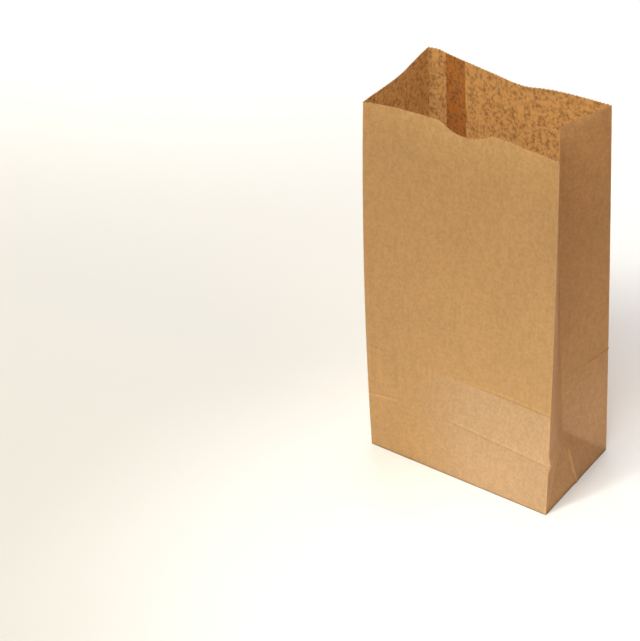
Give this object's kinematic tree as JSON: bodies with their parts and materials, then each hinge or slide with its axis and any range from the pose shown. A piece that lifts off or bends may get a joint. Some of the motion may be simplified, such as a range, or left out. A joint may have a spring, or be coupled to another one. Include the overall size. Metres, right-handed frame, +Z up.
{
  "type": "paper lunch bag",
  "caption": "open-topped kraft paper bag with folded-in side gussets, a flat glued base and a thumb notch in the front rim, for carrying a packed lunch",
  "frame": {"origin": "centre of the bounding box in X and Y, on the plane that the base stands on", "axes": "+Z up, from the base to the open rim; the front wall with the thumb notch faces -Y; the two gussets are on -X and +X"},
  "size_m": [0.1334, 0.077, 0.251],
  "materials": {
    "kraft_paper": "unbleached brown kraft, matt, with fine fibre mottling"
  },
  "bodies": {
    "root": {"paper_bag": "kraft_paper"}
  },
  "joints": []
}
